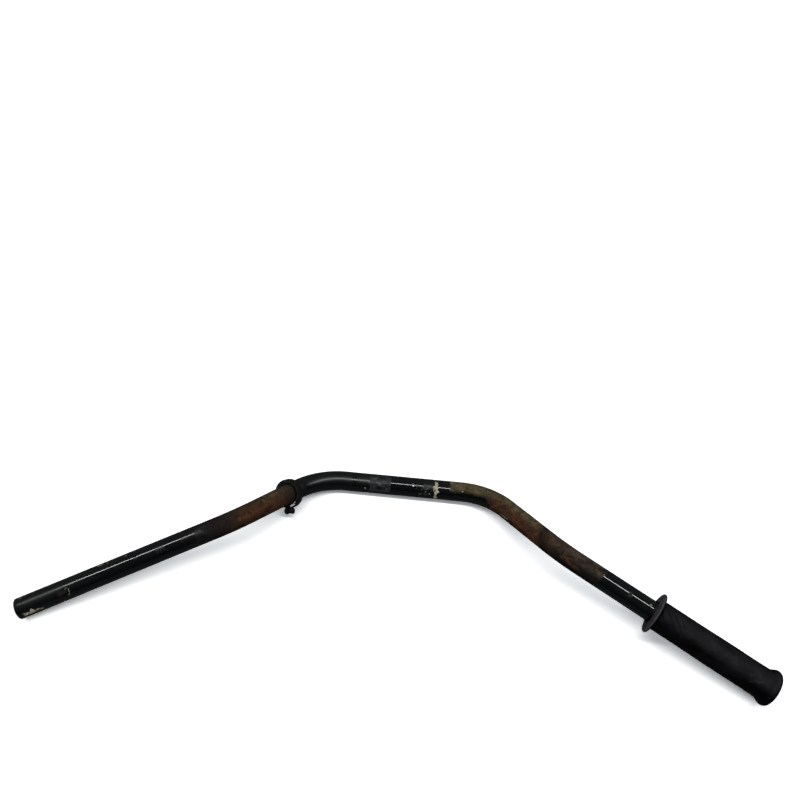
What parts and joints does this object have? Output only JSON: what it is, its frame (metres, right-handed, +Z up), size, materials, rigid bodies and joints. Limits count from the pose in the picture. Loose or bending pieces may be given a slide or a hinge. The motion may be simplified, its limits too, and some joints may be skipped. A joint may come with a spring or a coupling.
{
  "type": "motorcycle handlebar",
  "caption": "Black bent tube handlebar with rise and sweep, a flanged rubber grip on the right end, a bare left end and a small cable clamp on the left leg.",
  "frame": {"origin": "middle of the tube's straight centre section, on its axis", "axes": "+X along the centre section towards the grip, -Y towards the rider, +Z up as the bar lies on a floor"},
  "size_m": [0.7749, 0.2168, 0.0576],
  "materials": {
    "black_paint": "gloss black enamel, scuffed, with chips, knurled clamp marks and brown rust stains",
    "grip_rubber": "matte black rubber, dusty and creased",
    "cushion_rubber": "matte black rubber",
    "clamp_paint": "black coated steel, worn edges",
    "fastener_steel": "blackened steel with greyed edges"
  },
  "bodies": {
    "bar": {"bar_tube": "black_paint", "grip": "grip_rubber"},
    "cable_clamp": {"clamp_cushion": "cushion_rubber", "clamp_band": "clamp_paint", "clamp_screw": "fastener_steel", "clamp_washer": "fastener_steel", "clamp_nut": "fastener_steel"}
  },
  "joints": [
    {"name": "clamp_swivel", "type": "hinge", "parent": "bar", "child": "cable_clamp", "pos_m": [-0.12742, -0.03069, 0.01333], "axis": [0.6513, 0.696, -0.3024], "continuous": true}
  ]
}
